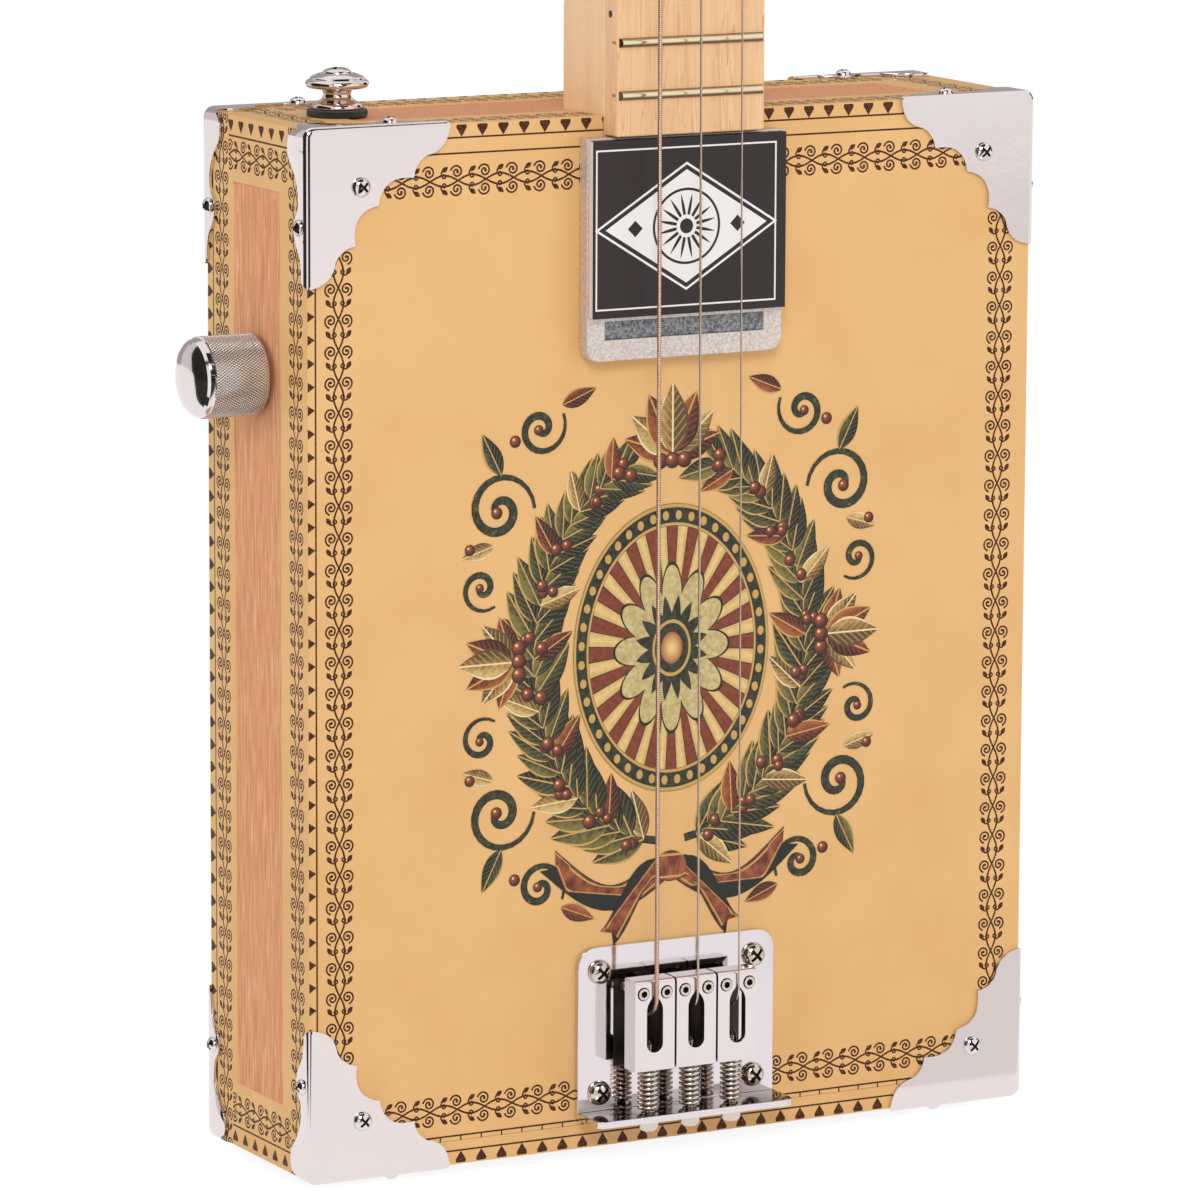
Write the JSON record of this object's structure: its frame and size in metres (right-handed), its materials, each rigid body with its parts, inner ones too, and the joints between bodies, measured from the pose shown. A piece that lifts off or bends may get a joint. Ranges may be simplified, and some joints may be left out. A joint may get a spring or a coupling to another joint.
{
  "type": "cigar box guitar",
  "caption": "Electric cigar box guitar: papered wooden box with corner brackets, fretted maple neck, surface pickup, bent plate bridge with sprung saddles, side knob and jack.",
  "frame": {"origin": "centre of the bare wood window in the tail wall, on its surface", "axes": "+X to the treble side, +Y to the back, +Z along the neck to the headstock"},
  "size_m": [0.2085, 0.0663, 0.8305],
  "materials": {
    "paper": "paper printed with borders, glued to wood",
    "maple": "satin",
    "block_wood": "sawn",
    "bone": "satin",
    "chrome": "polished",
    "steel": "bright",
    "string_wire": "bright",
    "felt": "felt",
    "pickup_grey": "speckled",
    "card": "fine speckle with a white edge",
    "cable": "matte"
  },
  "bodies": {
    "guitar": {"soundboard": "paper", "back_panel": "paper", "wall_bass": "paper", "wall_treble": "paper", "wall_neck_end": "paper", "wall_tail": "paper", "bracket_front_tail_bass": "chrome", "bracket_front_tail_treble": "chrome", "bracket_front_neck_bass": "chrome", "bracket_front_neck_treble": "chrome", "bracket_back_tail_bass": "chrome", "bracket_back_tail_treble": "chrome", "bracket_back_neck_bass": "chrome", "bracket_back_neck_treble": "chrome", "neck": "maple", "fretboard": "maple", "nut": "bone", "strap_button_felt": "felt", "strap_button": "chrome", "pickup_case": "pickup_grey", "pickup_cover": "card", "bridge_plate": "chrome", "bridge_screw_1": "steel", "bridge_screw_2": "steel", "bridge_screw_3": "steel", "bridge_screw_4": "steel", "intonation_spring_1": "steel", "intonation_spring_2": "steel", "intonation_spring_3": "steel", "bridge_block": "block_wood", "string_anchor": "chrome", "tuner_housing_1": "chrome", "tuner_housing_2": "chrome", "tuner_housing_3": "chrome", "string_1": "string_wire", "string_2": "string_wire", "string_3": "string_wire", "volume_pot": "steel", "output_jack": "steel", "wiring_harness": "cable"},
    "volume": {"volume_shaft": "steel", "volume_knob": "chrome"},
    "tuner_key_1": {"tuner_key_1": "chrome"},
    "tuner_key_2": {"tuner_key_2": "chrome"},
    "tuner_key_3": {"tuner_key_3": "chrome"},
    "tuner_post_1": {"tuner_post_1": "chrome"},
    "tuner_post_2": {"tuner_post_2": "chrome"},
    "tuner_post_3": {"tuner_post_3": "chrome"},
    "intonation_screw_1": {"intonation_screw_1": "steel"},
    "intonation_screw_2": {"intonation_screw_2": "steel"},
    "intonation_screw_3": {"intonation_screw_3": "steel"},
    "saddle_1": {"saddle_1": "chrome"},
    "saddle_2": {"saddle_2": "chrome"},
    "saddle_3": {"saddle_3": "chrome"},
    "height_screw_1_bass": {"height_screw_1_bass": "steel"},
    "height_screw_1_treble": {"height_screw_1_treble": "steel"},
    "height_screw_2_bass": {"height_screw_2_bass": "steel"},
    "height_screw_2_treble": {"height_screw_2_treble": "steel"},
    "height_screw_3_bass": {"height_screw_3_bass": "steel"},
    "height_screw_3_treble": {"height_screw_3_treble": "steel"}
  },
  "joints": [
    {"name": "volume_turn", "type": "hinge", "parent": "guitar", "child": "volume", "pos_m": [-0.0945, 0, 0.181], "axis": [-1, 0, 0], "range_deg": [-150, 150]},
    {"name": "tuner_key_1_turn", "type": "hinge", "parent": "guitar", "child": "tuner_key_1", "pos_m": [-0.0272, -0.0053, 0.7218], "axis": [-1, 0, 0], "continuous": true},
    {"name": "tuner_key_2_turn", "type": "hinge", "parent": "guitar", "child": "tuner_key_2", "pos_m": [-0.0272, -0.0053, 0.7638], "axis": [-1, 0, 0], "continuous": true},
    {"name": "tuner_key_3_turn", "type": "hinge", "parent": "guitar", "child": "tuner_key_3", "pos_m": [0.0272, -0.0053, 0.7428], "axis": [1, 0, 0], "continuous": true},
    {"name": "tuner_post_1_turn", "type": "hinge", "parent": "guitar", "child": "tuner_post_1", "pos_m": [-0.015, -0.0098, 0.7141], "axis": [0, -1, 0], "continuous": true, "deforming": ["string_1"]},
    {"name": "tuner_post_2_turn", "type": "hinge", "parent": "guitar", "child": "tuner_post_2", "pos_m": [-0.015, -0.0098, 0.7561], "axis": [0, -1, 0], "continuous": true, "deforming": ["string_2"]},
    {"name": "tuner_post_3_turn", "type": "hinge", "parent": "guitar", "child": "tuner_post_3", "pos_m": [0.015, -0.0098, 0.7351], "axis": [0, -1, 0], "continuous": true, "deforming": ["string_3"]},
    {"name": "intonation_screw_1_turn", "type": "hinge", "parent": "guitar", "child": "intonation_screw_1", "pos_m": [-0.01085, -0.034, 0.0069], "axis": [0, 0, 1], "range_deg": [-2400, 2400]},
    {"name": "intonation_screw_2_turn", "type": "hinge", "parent": "guitar", "child": "intonation_screw_2", "pos_m": [0, -0.034, 0.0069], "axis": [0, 0, 1], "range_deg": [-2400, 2400]},
    {"name": "intonation_screw_3_turn", "type": "hinge", "parent": "guitar", "child": "intonation_screw_3", "pos_m": [0.01085, -0.034, 0.0069], "axis": [0, 0, 1], "range_deg": [-2400, 2400]},
    {"name": "saddle_1_slide", "type": "slide", "parent": "guitar", "child": "saddle_1", "axis": [0, 0, 1], "range_m": [-0.003, 0.003], "deforming": ["intonation_spring_1", "string_1"]},
    {"name": "saddle_2_slide", "type": "slide", "parent": "guitar", "child": "saddle_2", "axis": [0, 0, 1], "range_m": [-0.003, 0.003], "deforming": ["intonation_spring_2", "string_2"]},
    {"name": "saddle_3_slide", "type": "slide", "parent": "guitar", "child": "saddle_3", "axis": [0, 0, 1], "range_m": [-0.003, 0.003], "deforming": ["intonation_spring_3", "string_3"]},
    {"name": "height_screw_1_bass_turn", "type": "hinge", "parent": "saddle_1", "child": "height_screw_1_bass", "pos_m": [-0.01385, -0.037, 0.0372], "axis": [0, -1, 0], "range_deg": [-360, 360]},
    {"name": "height_screw_1_treble_turn", "type": "hinge", "parent": "saddle_1", "child": "height_screw_1_treble", "pos_m": [-0.00785, -0.037, 0.0372], "axis": [0, -1, 0], "range_deg": [-360, 360]},
    {"name": "height_screw_2_bass_turn", "type": "hinge", "parent": "saddle_2", "child": "height_screw_2_bass", "pos_m": [-0.003, -0.037, 0.0372], "axis": [0, -1, 0], "range_deg": [-360, 360]},
    {"name": "height_screw_2_treble_turn", "type": "hinge", "parent": "saddle_2", "child": "height_screw_2_treble", "pos_m": [0.003, -0.037, 0.0372], "axis": [0, -1, 0], "range_deg": [-360, 360]},
    {"name": "height_screw_3_bass_turn", "type": "hinge", "parent": "saddle_3", "child": "height_screw_3_bass", "pos_m": [0.00785, -0.037, 0.0372], "axis": [0, -1, 0], "range_deg": [-360, 360]},
    {"name": "height_screw_3_treble_turn", "type": "hinge", "parent": "saddle_3", "child": "height_screw_3_treble", "pos_m": [0.01385, -0.037, 0.0372], "axis": [0, -1, 0], "range_deg": [-360, 360]}
  ],
  "couplings": [
    {"joint": "intonation_screw_1_turn", "follows": "saddle_1_slide", "rad_per_m": -12566},
    {"joint": "intonation_screw_2_turn", "follows": "saddle_2_slide", "rad_per_m": -12566},
    {"joint": "intonation_screw_3_turn", "follows": "saddle_3_slide", "rad_per_m": -12566},
    {"joint": "tuner_post_1_turn", "follows": "tuner_key_1_turn", "ratio": -0.071429},
    {"joint": "tuner_post_2_turn", "follows": "tuner_key_2_turn", "ratio": -0.071429},
    {"joint": "tuner_post_3_turn", "follows": "tuner_key_3_turn", "ratio": 0.071429}
  ]
}
